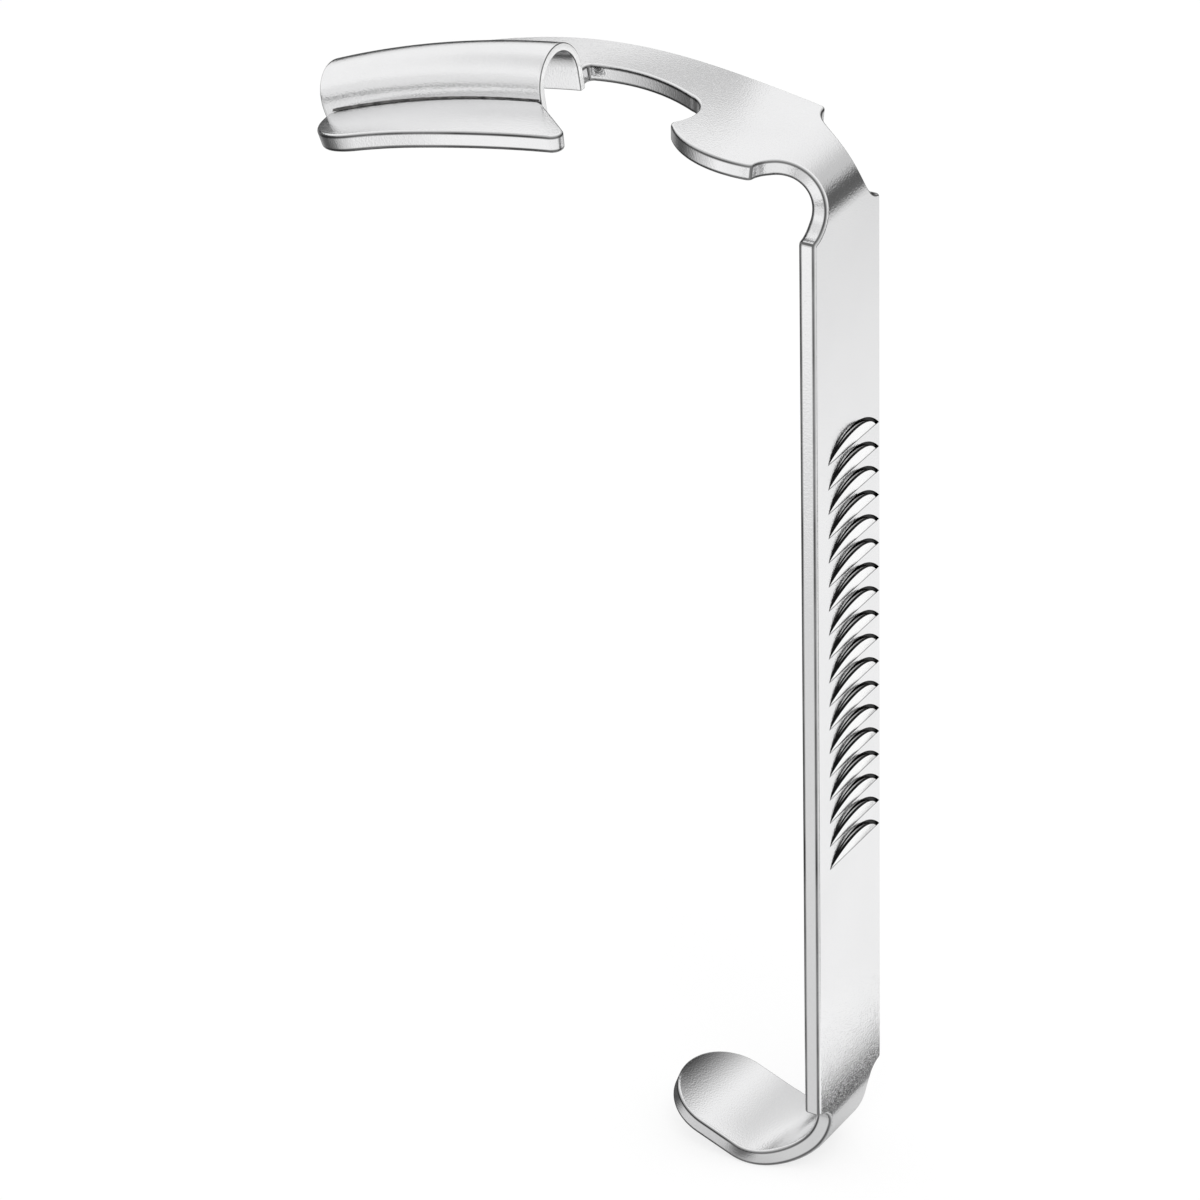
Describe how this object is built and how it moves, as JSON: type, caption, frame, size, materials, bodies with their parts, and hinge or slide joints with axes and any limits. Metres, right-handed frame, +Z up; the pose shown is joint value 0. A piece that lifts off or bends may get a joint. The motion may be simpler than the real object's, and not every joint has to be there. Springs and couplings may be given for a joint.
{
  "type": "tongue depressor",
  "caption": "Upright steel tongue depressor for a mouth gag: hooked foot, ratchet handle, curved blade with a half round tube guide, side window and side wing.",
  "frame": {"origin": "centre of the bounding box on the plane that the foot of the hook touches", "axes": "+Z up along the handle, blade and hook reach towards -X, ratchet teeth face +X, the open side window faces -Y"},
  "size_m": [0.0772, 0.032, 0.1571],
  "materials": {
    "plate_steel": "satin",
    "guide_steel": "satin",
    "wing_steel": "satin",
    "braze": "satin"
  },
  "bodies": {
    "root": {"blade_and_handle": "plate_steel", "tube_guide": "guide_steel", "side_wing": "wing_steel", "braze_seam_near": "braze", "braze_seam_far": "braze"}
  },
  "joints": []
}
